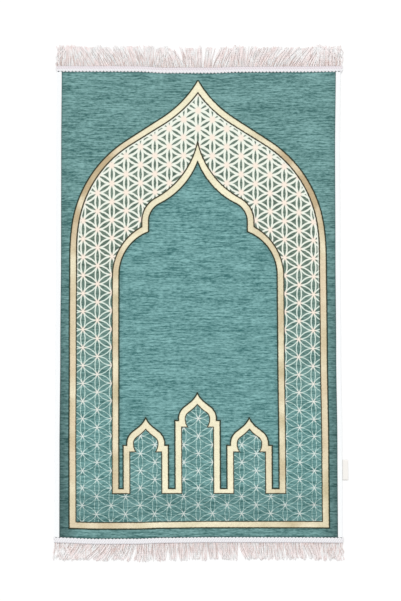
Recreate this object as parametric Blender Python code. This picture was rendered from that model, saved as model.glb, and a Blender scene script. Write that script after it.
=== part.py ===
"""A prayer rug lying flat, in metres, +Z up.

X runs across the rug and Y along it, towards the point of its arch. The origin is the middle of the floor that
the rug covers, and the underside is z = 0. A woven chenille panel has a tape folded over each long side, a flat
braid across each cut end, a cord fringe under each braid and a small blank label at the right-hand side.

Every piece is drawn first in the cloth's own flat measure, across and along, and then laid by lay().
"""

import math
from collections import namedtuple

import bmesh
import bpy

# Driving sizes, in the cloth's own flat measure
HALF_WIDTH = 0.340  # middle line to the outside of a side tape
HEAD_END = 0.565  # middle to the outer edge of the braid at the head
FOOT_END = -0.568  # the same at the foot
HALF_LENGTH = 0.611  # middle to the longest fringe tips, at both ends
THICKNESS = 0.003  # the panel's pile and ground together
GAP = 0.0003  # clearance between neighbouring pieces

# Side tape: a C over the pressed edge of the panel
TAPE_SHOWN = 0.0115
TAPE_LEAF = 0.0006
PRESSED = 0.0014  # the panel where the tape's stitches squeeze it
PRESSED_LOW = TAPE_LEAF + GAP
PRESSED_HIGH = PRESSED_LOW + PRESSED
TAPE_HIGH = PRESSED_HIGH + GAP + TAPE_LEAF
SHOULDER = 0.003  # the slope from full thickness down to the pressed edge
TAPE_STATIONS = 26

# End braid and what lies under it
BRAID_WIDTH = 0.013
BRAID_HIGH = 0.0036
BRAID_ROUNDED = 0.0003  # how far the braid's edges drop below its middle
BRAID_STATIONS = 36
PANEL_UNDER_BRAID = 0.008  # how far the panel's end runs in under the braid
BraidEnds = namedtuple("BraidEnds", "left right")
HEAD_BRAID = BraidEnds(left=-0.3375, right=0.3440)
FOOT_BRAID = BraidEnds(left=-0.3405, right=0.3400)

# Fringe: a comb whose teeth each stand for about three cords
TEETH = 56
TOOTH_SHARE = 0.8  # of the pitch
FRINGE_ROOT_HIGH = 0.0023
FRINGE_TIP_HIGH = 0.0014
FRINGE_BEND = 1.4  # how late along its length a tooth takes its lean
COMB_LEAN_SHARE = 0.55  # the comb follows this much of the cords' lean, because the cords cross and teeth can't
TIP_UNEVEN = 0.0014

# Label
LABEL_OUT = 0.013
LABEL_HIGH = 0.001
LABEL_FROM = -0.4205
LABEL_TO = -0.3725

# Lines of the panel's plan between its shoulders
PANEL_COLUMNS = 15
PANEL_ROWS = 27

# The long sides: where the outside of each tape lies, from foot to head
Side = namedtuple("Side", "along left right")
SIDES = (
    Side(along=-0.568, left=-0.3434, right=0.3427),
    Side(along=-0.350, left=-0.3430, right=0.3415),
    Side(along=-0.110, left=-0.3410, right=0.3384),
    Side(along=0.127, left=-0.3392, right=0.3366),
    Side(along=0.365, left=-0.3387, right=0.3357),
    Side(along=0.565, left=-0.3374, right=0.3373),
)

# The cut ends: how far each line at the head and foot strays along the rug, from left to right
End = namedtuple("End", "across head foot")
ENDS = (
    End(across=-0.345, head=0.0014, foot=0.0006),
    End(across=-0.235, head=0.0014, foot=-0.0028),
    End(across=-0.150, head=0.0012, foot=-0.0026),
    End(across=-0.080, head=-0.0022, foot=-0.0002),
    End(across=0.030, head=-0.0024, foot=0.0010),
    End(across=0.100, head=0.0000, foot=0.0010),
    End(across=0.240, head=0.0004, foot=0.0008),
    End(across=0.345, head=0.0014, foot=0.0000),
)
END_REACH = 0.15  # an end's strays fade out this far in

# How the fringe cords lean: the tips' shift across for each metre of cord
Lean = namedtuple("Lean", "across shift")
HEAD_LEANS = (
    Lean(-0.340, -0.05),
    Lean(-0.310, -0.15),
    Lean(-0.280, -0.52),
    Lean(-0.200, -0.58),
    Lean(-0.150, -0.36),
    Lean(-0.100, 0.10),
    Lean(-0.045, -0.55),
    Lean(0.005, 0.00),
    Lean(0.050, 0.55),
    Lean(0.100, 0.02),
    Lean(0.165, 0.70),
    Lean(0.235, 0.70),
    Lean(0.315, -0.25),
    Lean(0.345, 0.08),
)
FOOT_LEANS = (
    Lean(-0.340, 0.10),
    Lean(-0.318, 0.20),
    Lean(-0.285, -0.55),
    Lean(-0.235, -0.80),
    Lean(-0.165, -0.38),
    Lean(-0.120, 0.00),
    Lean(0.020, 0.02),
    Lean(0.050, 0.28),
    Lean(0.080, 0.05),
    Lean(0.108, 0.38),
    Lean(0.150, 0.10),
    Lean(0.250, 0.36),
    Lean(0.310, 0.02),
    Lean(0.345, 0.10),
)

# Soft swells that the cloth keeps from its folding
Swell = namedtuple("Swell", "across along reach_across reach_along height")
SWELLS = (
    Swell(-0.300, 0.086, 0.060, 0.045, 0.0009),
    Swell(-0.302, -0.009, 0.060, 0.045, 0.0008),
    Swell(-0.070, -0.515, 0.060, 0.050, 0.0008),
    Swell(0.195, -0.375, 0.060, 0.060, 0.0009),
    Swell(-0.025, 0.520, 0.090, 0.050, 0.0010),
    Swell(0.060, 0.050, 0.160, 0.120, 0.0006),
)

Look = namedtuple("Look", "colour roughness")
CHENILLE = Look(colour=(0.144, 0.314, 0.292, 1.0), roughness=0.9)
TAPE = Look(colour=(0.92, 0.95, 0.95, 1.0), roughness=0.8)
BRAID = Look(colour=(0.90, 0.86, 0.88, 1.0), roughness=0.85)
CORD = Look(colour=(0.80, 0.70, 0.69, 1.0), roughness=0.85)
LABEL = Look(colour=(0.92, 0.90, 0.87, 1.0), roughness=0.55)


def eased(share):
    """0 to 1 with level ends."""
    share = min(1.0, max(0.0, share))
    return share * share * (3.0 - 2.0 * share)


def along_table(rows, key, column, at):
    """The value of a table's column at a place between its rows, eased from row to row."""
    if at <= getattr(rows[0], key):
        return getattr(rows[0], column)
    for before, after in zip(rows, rows[1:]):
        start, end = getattr(before, key), getattr(after, key)
        if at <= end:
            share = eased((at - start) / (end - start))
            return getattr(before, column) * (1.0 - share) + getattr(after, column) * share
    return getattr(rows[-1], column)


def middle_of_box():
    """How far the box of the whole rug, label included, lies to the right of the cloth's middle line."""
    leftmost = min(side.left for side in SIDES)
    label_along = (LABEL_FROM + LABEL_TO) / 2.0
    rightmost = along_table(SIDES, "along", "right", label_along) + GAP + LABEL_OUT
    return (leftmost + rightmost) / 2.0


ORIGIN_ACROSS = middle_of_box()


def lay(across, along):
    """Where a point of the flat cloth lies on the floor."""
    left = along_table(SIDES, "along", "left", along)
    right = along_table(SIDES, "along", "right", along)
    x = (left + right) / 2.0 + across / HALF_WIDTH * (right - left) / 2.0
    at_head = eased(1.0 - (HEAD_END - along) / END_REACH)
    at_foot = eased(1.0 - (along - FOOT_END) / END_REACH)
    y = along + at_head * along_table(ENDS, "across", "head", across)
    y += at_foot * along_table(ENDS, "across", "foot", across)
    return x - ORIGIN_ACROSS, y


def swell(across, along):
    """How far the cloth's soft swells lift its face at a point."""
    lift = 0.0
    for one in SWELLS:
        away = math.hypot((across - one.across) / one.reach_across, (along - one.along) / one.reach_along)
        lift += one.height * eased(1.0 - away)
    return lift


def finish_object(name, plan, look):
    """Turns a closed mesh into a named object with its own material."""
    bmesh.ops.recalc_face_normals(plan, faces=plan.faces[:])
    mesh = bpy.data.meshes.new(name)
    plan.to_mesh(mesh)
    plan.free()
    material = bpy.data.materials.new(name)
    material.use_nodes = True
    shader = material.node_tree.nodes["Principled BSDF"]
    shader.inputs["Base Color"].default_value = look.colour
    shader.inputs["Roughness"].default_value = look.roughness
    mesh.materials.append(material)
    mesh.shade_smooth()
    mesh.set_sharp_from_angle(angle=math.radians(30))
    bpy.context.scene.collection.objects.link(bpy.data.objects.new(name, mesh))


def grid_plan(across_lines, along_lines):
    """A flat plan of four-sided faces between lines across and along the cloth."""
    plan = bmesh.new()
    rows = [[plan.verts.new((across, along, 0.0)) for across in across_lines] for along in along_lines]
    for low_row, high_row in zip(rows, rows[1:]):
        for i in range(len(across_lines) - 1):
            plan.faces.new((low_row[i], low_row[i + 1], high_row[i + 1], high_row[i]))
    return plan


def thicken_and_lay(name, plan, low, high, look):
    """Extrudes a flat plan, then lays it between its underside low() and its face high()."""
    grown = bmesh.ops.extrude_face_region(plan, geom=plan.faces[:])
    for part in grown["geom"]:
        if isinstance(part, bmesh.types.BMVert):
            part.co.z = 1.0
    for corner in plan.verts:
        across, along, level = corner.co
        x, y = lay(across, along)
        corner.co = (x, y, (high if level > 0.5 else low)(across, along))
    finish_object(name, plan, look)


def even_lines(start, end, count):
    """This many evenly spaced lines, the first at start and the last at end."""
    return [start + (end - start) * i / (count - 1) for i in range(count)]


def make_panel():
    """The woven cloth: full thickness inside, pressed thin all round where tape and braid hold it."""
    edge = HALF_WIDTH - TAPE_LEAF - GAP
    tape_edge = HALF_WIDTH - TAPE_SHOWN
    side_lines = even_lines(-tape_edge + SHOULDER, tape_edge - SHOULDER, PANEL_COLUMNS)
    across_lines = [-edge, -tape_edge, *side_lines, tape_edge, edge]
    head_edge, foot_edge = HEAD_END - BRAID_WIDTH, FOOT_END + BRAID_WIDTH
    end_lines = even_lines(foot_edge + SHOULDER, head_edge - SHOULDER, PANEL_ROWS)
    ends = (foot_edge - PANEL_UNDER_BRAID, foot_edge), (head_edge, head_edge + PANEL_UNDER_BRAID)
    along_lines = [*ends[0], *end_lines, *ends[1]]
    slack = 1e-6

    def pressed(across, along):
        return abs(across) > tape_edge - slack or not foot_edge + slack < along < head_edge - slack

    def low(across, along):
        return PRESSED_LOW if pressed(across, along) else 0.0

    def high(across, along):
        return PRESSED_HIGH if pressed(across, along) else THICKNESS + swell(across, along)

    thicken_and_lay("woven_panel", grid_plan(across_lines, along_lines), low, high, CHENILLE)


def make_side_binding(name, side):
    """A tape folded over one long edge. side is -1 on the left and 1 on the right."""
    inner, wall = HALF_WIDTH - TAPE_SHOWN, HALF_WIDTH - TAPE_LEAF
    profile = (
        (inner, 0.0),
        (wall, 0.0),
        (HALF_WIDTH, TAPE_LEAF),
        (HALF_WIDTH, TAPE_HIGH - TAPE_LEAF),
        (wall, TAPE_HIGH),
        (inner, TAPE_HIGH),
        (inner, TAPE_HIGH - TAPE_LEAF),
        (wall, TAPE_HIGH - TAPE_LEAF),
        (wall, TAPE_LEAF),
        (inner, TAPE_LEAF),
    )
    plan = bmesh.new()
    rings = []
    for along in even_lines(FOOT_END + BRAID_WIDTH + GAP, HEAD_END - BRAID_WIDTH - GAP, TAPE_STATIONS):
        ring = []
        for across, height in profile:
            x, y = lay(side * across, along)
            ring.append(plan.verts.new((x, y, height)))
        rings.append(ring)
    plan.faces.new(rings[0])
    plan.faces.new(rings[-1])
    for here, there in zip(rings, rings[1:]):
        for i, corner in enumerate(here):
            after = (i + 1) % len(profile)
            plan.faces.new((corner, here[after], there[after], there[i]))
    finish_object(name, plan, TAPE)


def make_end_braid(name, outer, inward, reach):
    """A flat braid over the panel's end. inward is the way from its outer edge to the rug's middle."""
    across_lines = even_lines(reach.left, reach.right, BRAID_STATIONS)
    middle = outer + inward * BRAID_WIDTH / 2.0
    plan = grid_plan(across_lines, sorted((outer, middle, outer + inward * BRAID_WIDTH)))

    def low(across, along):
        return PRESSED_HIGH + GAP

    def high(across, along):
        rim = abs(along - middle) > BRAID_WIDTH / 4.0
        return BRAID_HIGH - (BRAID_ROUNDED if rim else 0.0)

    thicken_and_lay(name, plan, low, high, BRAID)


def make_fringe(name, outer, outward, reach, leans):
    """One comb. Its back lies under the braid, against the panel's end, and its teeth lie on the floor."""
    back = outer - outward * (BRAID_WIDTH - PANEL_UNDER_BRAID - GAP)
    length = HALF_LENGTH - abs(outer)
    pitch = (reach.right - reach.left) / TEETH
    plan = bmesh.new()

    def tooth_line(across, count):
        """The corners down one side of a tooth, from its root to its tip."""
        lean = COMB_LEAN_SHARE * along_table(leans, "across", "shift", across)
        cut = TIP_UNEVEN * (0.5 - 0.5 * math.cos(2.4 * count))
        line = []
        for share in (0.0, 0.4, 1.0):
            shifted = across + lean * length * share**FRINGE_BEND
            line.append(plan.verts.new((shifted, outer + outward * (length - cut) * share, 0.0)))
        return line

    back_before = root_before = None
    for count in range(TEETH):
        left = reach.left + pitch * count
        right = left + pitch * TOOTH_SHARE
        back_left, back_right = (plan.verts.new((across, back, 0.0)) for across in (left, right))
        left_line, right_line = tooth_line(left, count), tooth_line(right, count)
        if root_before:
            plan.faces.new((back_before, back_left, left_line[0], root_before))
        plan.faces.new((back_left, back_right, right_line[0], left_line[0]))
        for i in range(len(left_line) - 1):
            plan.faces.new((left_line[i], right_line[i], right_line[i + 1], left_line[i + 1]))
        back_before, root_before = back_right, right_line[0]

    def low(across, along):
        return 0.0

    def high(across, along):
        share = min(1.0, max(0.0, outward * (along - outer) / length))
        return FRINGE_ROOT_HIGH + (FRINGE_TIP_HIGH - FRINGE_ROOT_HIGH) * share

    bmesh.ops.recalc_face_normals(plan, faces=plan.faces[:])
    thicken_and_lay(name, plan, low, high, CORD)


def make_label():
    """A blank woven label, folded flat, that stands out from the right-hand tape."""
    start = HALF_WIDTH + GAP
    across_lines = even_lines(start, start + LABEL_OUT, 3)
    plan = grid_plan(across_lines, even_lines(LABEL_FROM, LABEL_TO, 5))

    def low(across, along):
        return 0.0

    def high(across, along):
        return LABEL_HIGH

    thicken_and_lay("side_label", plan, low, high, LABEL)


def main():
    for old in list(bpy.data.objects):
        bpy.data.objects.remove(old, do_unlink=True)
    make_panel()
    make_side_binding("side_binding_left", -1)
    make_side_binding("side_binding_right", 1)
    make_end_braid("end_braid_head", HEAD_END, -1, HEAD_BRAID)
    make_end_braid("end_braid_foot", FOOT_END, 1, FOOT_BRAID)
    make_fringe("fringe_head", HEAD_END, 1, HEAD_BRAID, HEAD_LEANS)
    make_fringe("fringe_foot", FOOT_END, -1, FOOT_BRAID, FOOT_LEANS)
    make_label()


main()
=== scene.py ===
# %% [markdown]
# # A prayer rug, lying flat
# The rug is a woven chenille cloth with a pointed arch drawn on it in flat gold and cream yarn. A white
# tape is folded over each long side, a white braid crosses each cut end, and a fringe of twisted cords
# hangs out from under each braid. A plain small label is caught in the right-hand side. The script starts
# from the solid frame of the rug and puts a finished piece over each of its solids.

# %% Load the frame
import math
from collections import namedtuple

import bpy
import numpy as np
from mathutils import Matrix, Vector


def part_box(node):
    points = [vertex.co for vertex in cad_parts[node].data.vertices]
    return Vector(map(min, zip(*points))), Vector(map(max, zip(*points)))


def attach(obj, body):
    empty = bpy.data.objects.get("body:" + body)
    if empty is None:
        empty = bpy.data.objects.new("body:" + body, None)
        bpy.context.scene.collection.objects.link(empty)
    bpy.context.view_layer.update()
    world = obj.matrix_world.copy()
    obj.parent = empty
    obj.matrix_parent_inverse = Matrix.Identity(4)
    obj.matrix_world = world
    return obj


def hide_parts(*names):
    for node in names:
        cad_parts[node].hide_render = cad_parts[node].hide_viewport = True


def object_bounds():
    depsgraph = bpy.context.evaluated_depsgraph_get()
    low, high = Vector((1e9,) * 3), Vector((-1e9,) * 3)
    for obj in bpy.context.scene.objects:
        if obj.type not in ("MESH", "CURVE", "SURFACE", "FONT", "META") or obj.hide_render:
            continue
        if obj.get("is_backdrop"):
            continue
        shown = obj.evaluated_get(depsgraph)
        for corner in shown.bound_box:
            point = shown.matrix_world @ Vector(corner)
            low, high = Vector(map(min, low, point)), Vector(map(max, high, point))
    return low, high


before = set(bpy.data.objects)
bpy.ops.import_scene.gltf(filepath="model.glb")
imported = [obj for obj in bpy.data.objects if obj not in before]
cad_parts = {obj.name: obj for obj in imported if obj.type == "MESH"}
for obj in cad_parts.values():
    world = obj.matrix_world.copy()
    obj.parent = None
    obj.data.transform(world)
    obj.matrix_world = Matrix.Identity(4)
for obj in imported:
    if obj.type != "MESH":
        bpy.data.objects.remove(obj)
cad_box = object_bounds()
print("the frame's box", [list(map(float, corner)) for corner in cad_box])

# %% [markdown]
# ## How the cloth lies
# A real rug is never quite square: its sides wander by a millimetre or two and its ends dip. So each
# piece is first made in the cloth's own flat measure, across and along, and one function then lays it on
# the floor. Every piece goes through the same function, which is why the tape still meets the cloth where
# the cloth bends.

# %% The rug's named sizes
HALF_WIDTH = 0.340  # middle line to the outside of a side tape
HEAD_END = 0.565  # middle to the outer edge of the braid at the head
FOOT_END = -0.568  # the same at the foot
TAPE_SHOWN = 0.0115
BRAID_WIDTH = 0.013
END_REACH = 0.15  # how far in from an end its strays fade out

Side = namedtuple("Side", "along left right")
SIDES = (
    Side(-0.568, -0.3434, 0.3427),
    Side(-0.350, -0.3430, 0.3415),
    Side(-0.110, -0.3410, 0.3384),
    Side(0.127, -0.3392, 0.3366),
    Side(0.365, -0.3387, 0.3357),
    Side(0.565, -0.3374, 0.3373),
)
End = namedtuple("End", "across head foot")
ENDS = (  # as in the frame's solids
    End(-0.345, 0.0014, 0.0006),
    End(-0.235, 0.0014, -0.0028),
    End(-0.150, 0.0012, -0.0026),
    End(-0.080, -0.0022, -0.0002),
    End(0.030, -0.0024, 0.0010),
    End(0.100, 0.0000, 0.0010),
    End(0.240, 0.0004, 0.0008),
    End(0.345, 0.0014, 0.0000),
)
ENDS_SETTLED = 0.002  # both ends lie this much nearer the foot than they were cut
Swell = namedtuple("Swell", "across along reach_across reach_along height")
SWELLS = (
    Swell(-0.300, 0.086, 0.060, 0.045, 0.0009),
    Swell(-0.302, -0.009, 0.060, 0.045, 0.0008),
    Swell(-0.070, -0.515, 0.060, 0.050, 0.0008),
    Swell(0.195, -0.375, 0.060, 0.060, 0.0009),
    Swell(-0.025, 0.520, 0.090, 0.050, 0.0010),
    Swell(0.060, 0.050, 0.160, 0.120, 0.0006),
)
print("the rug is about", round(2 * HALF_WIDTH, 3), "m wide over its tapes")

# %% Laying a flat point on the floor


def eased(share):
    """0 to 1 with level ends, for one number or an array."""
    share = np.clip(share, 0.0, 1.0)
    return share * share * (3.0 - 2.0 * share)


def from_table(rows, key, column, at):
    """A table's column at each place in at, eased from row to row."""
    keys = np.array([getattr(row, key) for row in rows])
    values = np.array([getattr(row, column) for row in rows])
    at = np.clip(np.asarray(at, float), keys[0], keys[-1])
    row = np.clip(np.searchsorted(keys, at) - 1, 0, len(keys) - 2)
    share = eased((at - keys[row]) / (keys[row + 1] - keys[row]))
    return values[row] * (1.0 - share) + values[row + 1] * share


def lay_loose(across, along):
    """Where points of the flat cloth lie, measured from the cloth's own middle line."""
    left = from_table(SIDES, "along", "left", along)
    right = from_table(SIDES, "along", "right", along)
    x = (left + right) / 2.0 + across / HALF_WIDTH * (right - left) / 2.0
    at_head = eased(1.0 - (HEAD_END - along) / END_REACH)
    at_foot = eased(1.0 - (along - FOOT_END) / END_REACH)
    y = along + at_head * (from_table(ENDS, "across", "head", across) - ENDS_SETTLED)
    return x, y + at_foot * (from_table(ENDS, "across", "foot", across) - ENDS_SETTLED)


# The frame's left-hand tape says where that middle line is: its outermost point is the left side's furthest.
TAPE_FOOT = FOOT_END + BRAID_WIDTH
LEFT_AT_FOOT = float(from_table(SIDES, "along", "left", TAPE_FOOT))
ORIGIN_ACROSS = LEFT_AT_FOOT - float(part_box("side_binding_left")[0][0])


def lay(across, along):
    """Where points of the flat cloth lie in the frame."""
    x, y = lay_loose(across, along)
    return x - ORIGIN_ACROSS, y


def swell(across, along):
    """How far the soft swells left from folding lift the cloth."""
    lift = np.zeros(np.shape(across))
    for one in SWELLS:
        away = np.hypot((across - one.across) / one.reach_across, (along - one.along) / one.reach_along)
        lift = lift + one.height * eased(1.0 - away)
    return lift


print("the cloth's middle line lies", round(-ORIGIN_ACROSS * 1000, 2), "mm from the frame's")

# %% [markdown]
# ## Camera, floor and light
# The rug is looked at from straight above, so the camera is high up with a long lens, which keeps the
# rug's sides parallel. The floor is plain and pale. A bright even sky gives soft light, and a soft sun
# beyond the head end gives the ribs, the braid and the cords a light side and a shaded one.

# %% Camera
CAMERA_HEIGHT = 4.0
VIEW_LENGTH = 1.4304  # metres of floor from the bottom of the picture to the top
VIEW_MIDDLE = (-0.0017, 0.0067)
FILM = 36.0

camera_data = bpy.data.cameras.new("camera")
camera_data.sensor_width = FILM
camera_data.lens = FILM * CAMERA_HEIGHT / VIEW_LENGTH
camera = bpy.data.objects.new("camera", camera_data)
camera.location = (*VIEW_MIDDLE, CAMERA_HEIGHT)
bpy.context.scene.collection.objects.link(camera)
bpy.context.scene.camera = camera
print("lens", round(camera_data.lens, 1), "mm")

# %% Floor and light
FLOOR_SIDE = 12.0
FLOOR_COLOUR = (0.95, 0.95, 0.95, 1.0)
FLOOR_BELOW = 0.0004  # a hair under the rug

bpy.ops.mesh.primitive_plane_add(size=FLOOR_SIDE, location=(0.0, 0.0, -FLOOR_BELOW))
floor = bpy.context.object
floor.name = "floor"
floor_paint = bpy.data.materials.new("floor")
floor_paint.use_nodes = True
floor_shader = floor_paint.node_tree.nodes["Principled BSDF"]
floor_shader.inputs["Base Color"].default_value = FLOOR_COLOUR
floor_shader.inputs["Roughness"].default_value = 0.9
floor.data.materials.append(floor_paint)
floor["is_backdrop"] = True

SKY_STRENGTH = 0.90
SUN_STRENGTH = 0.95
SUN_FROM_ABOVE = math.radians(48.0)
SUN_TURN = math.radians(14.0)
SUN_WIDTH = math.radians(25.0)
world = bpy.data.worlds.new("sky")
world.use_nodes = True
sky = world.node_tree.nodes["Background"]
sky.inputs["Color"].default_value = (1.0, 1.0, 1.0, 1.0)
sky.inputs["Strength"].default_value = SKY_STRENGTH
bpy.context.scene.world = world

sun_data = bpy.data.lights.new("soft_sun", "SUN")
sun_data.energy = SUN_STRENGTH
sun_data.angle = SUN_WIDTH
sun = bpy.data.objects.new("soft_sun", sun_data)
sun.rotation_euler = (-SUN_FROM_ABOVE, 0.0, SUN_TURN)
bpy.context.scene.collection.objects.link(sun)
bpy.context.scene.view_settings.view_transform = "Standard"
LIGHT_LEVEL = SKY_STRENGTH + SUN_STRENGTH * math.cos(SUN_FROM_ABOVE) / math.pi
print("light on a level surface", round(LIGHT_LEVEL, 3))

# %% [markdown]
# ## Arithmetic that works twice
# The arch design is a drawing made of arcs and straight lines. It is wanted in two places: in the cloth's
# shader, where it picks the colour, and in the cloth's mesh, where the flat gold yarn lies a little lower
# than the chenille pile. So the drawing is written once, with arithmetic that runs on arrays of numbers
# or on shader links alike. On a link, each step adds one Math node.

# %% Wires: numbers that run along shader links
ARRAY_STEPS = {
    "ADD": np.add,
    "SUBTRACT": np.subtract,
    "MULTIPLY": np.multiply,
    "DIVIDE": np.divide,
    "MINIMUM": np.minimum,
    "MAXIMUM": np.maximum,
    "ABSOLUTE": np.abs,
    "SQRT": np.sqrt,
    "FLOOR": np.floor,
    "SINE": np.sin,
    "POWER": np.power,
    "GREATER_THAN": lambda a, b: np.greater(a, b) * 1.0,
}


class Wire:
    """A number on a shader link. Adding, multiplying and the like put a Math node after it."""

    def __init__(self, socket):
        self.socket = socket


def add_operator(name, step):
    """Gives wires an operator, also for a plain number on its left."""
    setattr(Wire, f"__{name}__", lambda self, other: calc(step, self, other))
    setattr(Wire, f"__r{name}__", lambda self, other: calc(step, other, self))


for name, step in (("add", "ADD"), ("sub", "SUBTRACT"), ("mul", "MULTIPLY"), ("truediv", "DIVIDE")):
    add_operator(name, step)
Wire.__neg__ = lambda self: calc("MULTIPLY", self, -1.0)


def plug(socket, value):
    """Links a wire to a socket, or sets the socket to a plain number or colour."""
    if isinstance(value, Wire):
        socket.id_data.links.new(value.socket, socket)
    else:
        socket.default_value = value


def calc(step, *terms):
    """One step of arithmetic, as a Math node if any term is a wire."""
    wires = [term for term in terms if isinstance(term, Wire)]
    if not wires:
        return ARRAY_STEPS[step](*terms)
    node = wires[0].socket.id_data.nodes.new("ShaderNodeMath")
    node.operation = step
    for socket, term in zip(node.inputs, terms):
        plug(socket, term)
    return Wire(node.outputs[0])


def lesser(a, b):
    return calc("MINIMUM", a, b)


def greater(a, b):
    return calc("MAXIMUM", a, b)


def size_of(a):
    return calc("ABSOLUTE", a)


def above(a, b):
    """1 where a is more than b, and 0 elsewhere."""
    return calc("GREATER_THAN", a, b)


def between(share, low, high):
    """low at 0, high at 1."""
    return low + share * (high - low)


def reach(a, b):
    """The length of the step (a, b)."""
    return calc("SQRT", a * a + b * b)


def ramp(a, start, end):
    """0 at start, 1 at end, straight between and level beyond."""
    return lesser(greater((a - start) / (end - start), 0.0), 1.0)


print("arithmetic steps", len(ARRAY_STEPS))

# %% [markdown]
# ## The drawing: arches as signed distances
# A pointed arch like these is drawn with compasses. From the straight side, one or two round arcs turn
# the line inwards, a straight run may follow, and a hollow arc on the other side of the line sweeps up to
# the tip. The function below says how far a point is from that line, and gives it a minus sign inside the
# arch. With such distances an outline is where the distance is near 0, and a band is where it is between
# two values.

# %% One arch
Round = namedtuple("Round", "radius turned")
Arch = namedtuple("Arch", "half_width tip rounds straight hollow")


def arch_points(arch):
    """(centres of the rounds, last round's end, start of the hollow, centre of the hollow), as numbers."""
    place, turned = np.array([arch.half_width, 0.0]), 0.0
    centres = []
    for one in arch.rounds:
        out = np.array([math.cos(turned), math.sin(turned)])
        centres.append(place - one.radius * out)
        turned = math.radians(one.turned)
        out = np.array([math.cos(turned), math.sin(turned)])
        place = centres[-1] + one.radius * out
    hollow_start = place + arch.straight * np.array([-out[1], out[0]])
    hollow_centre = hollow_start + arch.hollow * out
    rise = hollow_centre[1] - math.sqrt(arch.hollow**2 - hollow_centre[0] ** 2)
    lift = np.array([0.0, arch.tip - rise])
    return [centre + lift for centre in centres], place + lift, hollow_start + lift, hollow_centre + lift


def arch_distance(away, along, arch):
    """Signed distance from an arch's line. away is how far a point is from its middle line."""
    centres, round_end, hollow_start, hollow_centre = arch_points(arch)
    turned = math.radians(arch.rounds[-1].turned)
    out = math.cos(turned), math.sin(turned)

    def past(place):
        """1 on the tip's side of the line square to the arch at this place."""
        return above((along - place[1]) * out[0] - (away - place[0]) * out[1], 0.0)

    hollow = arch.hollow - reach(away - hollow_centre[0], along - hollow_centre[1])
    hollow = greater(hollow, along - arch.tip)
    straight = (away - round_end[0]) * out[0] + (along - round_end[1]) * out[1]
    distance = between(past(hollow_start), straight, hollow) if arch.straight else hollow
    for one, centre in reversed(list(zip(arch.rounds, centres))):
        angle = math.radians(one.turned)
        over = above((along - centre[1]) * math.cos(angle) - (away - centre[0]) * math.sin(angle), 0.0)
        curve = reach(away - centre[0], along - centre[1]) - one.radius
        distance = between(over, curve, distance)
    return between(above(along, centres[0][1]), away - arch.half_width, distance)


OUTER_ARCH = Arch(0.3071, 0.5371, (Round(0.589, 7.5), Round(0.2853, 57.4)), 0.0998, 0.2659)
OUTER_TIP = 0.5346  # the weave blunts the outer tip here
INNER_ARCH = Arch(0.2907, 0.5057, (Round(0.3809, 11.0), Round(0.2677, 58.3)), 0.0919, 0.2894)
PATTERN_HEAD = Arch(0.1344, 0.3873, (Round(0.0631, 61.7),), 0.0, 0.2016)
FIELD_HEAD = Arch(0.1182, 0.3400, (Round(0.0480, 63.8),), 0.0, 0.1863)
SMALL_OUTER = Arch(0.0451, 0.0, (Round(0.0365, 52.1),), 0.0164, 0.0606)
SMALL_INNER = Arch(0.0290, -0.0274, (Round(0.0191, 53.2),), 0.0058, 0.1044)
print("the outer arch springs at", round(float(arch_points(OUTER_ARCH)[0][0][1]), 4), "m")

# %% [markdown]
# ## The drawing: bands, shoulders and the three small arches
# The outer gold band follows the great arch and runs square across the foot. The inner band has a small
# pointed head on two broad shoulders. At the foot it turns into narrow channels and folds itself round
# three small arches. Joining shapes takes the lesser distance and cutting one from another takes the
# greater, which also gives the crisp mitred corners of the real weave.

# %% The whole drawing
BAND_FOOT_OUT = -0.5303
BAND_FOOT_IN = -0.5150
Shoulder = namedtuple("Shoulder", "across along radius")
PATTERN_SHOULDER = Shoulder(0.0711, 0.0671, 0.1338)
FIELD_SHOULDER = Shoulder(0.0798, 0.0708, 0.1093)
PATTERN_FOOT, FIELD_FOOT = -0.4494, -0.4377
LEG_OUT, LEG_IN = 0.0536, 0.0377
STEP_OUT, STEP_IN = 0.0658, 0.0815  # below a small arch's tip
NECK_ROUND = 0.036
Small = namedtuple("Small", "across tip")
SMALL_ARCHES = (Small(across=0.0, tip=-0.2101), Small(across=0.1226, tip=-0.2691))
SMALL_ASIDE = 0.0029  # the three stand a little left of the middle line


def shouldered(away, along, head, shoulder):
    """A pointed head on a body with rounded shoulders."""
    corner = reach(greater(away - shoulder.across, 0.0), along - shoulder.along) - shoulder.radius
    body = between(above(along, shoulder.along), away - (shoulder.across + shoulder.radius), corner)
    return lesser(arch_distance(away, along, head), body)


def small_arches(away, along, inner):
    """The three small arches' outsides, or their insides, joined."""
    joined = None
    for small in SMALL_ARCHES:
        beside = size_of(away - small.across)
        rise = along - small.tip
        if inner:
            head = arch_distance(beside, rise, SMALL_INNER)
            spring = float(arch_points(SMALL_INNER)[0][0][1])
            narrowed = NECK_ROUND - SMALL_INNER.half_width
            neck = reach(beside + narrowed, rise - spring) - NECK_ROUND
            head = between(above(rise, spring), neck, head)
            legs = greater(beside - LEG_IN, rise + STEP_IN)
        else:
            head = arch_distance(beside, rise, SMALL_OUTER)
            legs = greater(beside - LEG_OUT, rise + STEP_OUT)
        shape = lesser(head, legs)
        joined = shape if joined is None else lesser(joined, shape)
    return joined


def drawing(across, along):
    """Signed distances, less than 0 inside: the outer band's two lines, the pattern's, the field's."""
    away = size_of(across)
    outer = greater(arch_distance(away, along, OUTER_ARCH), BAND_FOOT_OUT - along)
    outer = greater(outer, along - OUTER_TIP)
    inner = greater(arch_distance(away, along, INNER_ARCH), BAND_FOOT_IN - along)
    pattern = greater(shouldered(away, along, PATTERN_HEAD, PATTERN_SHOULDER), PATTERN_FOOT - along)
    away_small = size_of(across + SMALL_ASIDE)
    pattern = greater(pattern, -small_arches(away_small, along, inner=True))
    field = greater(shouldered(away, along, FIELD_HEAD, FIELD_SHOULDER), FIELD_FOOT - along)
    field = greater(field, -small_arches(away_small, along, inner=False))
    return outer, inner, pattern, field


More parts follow.
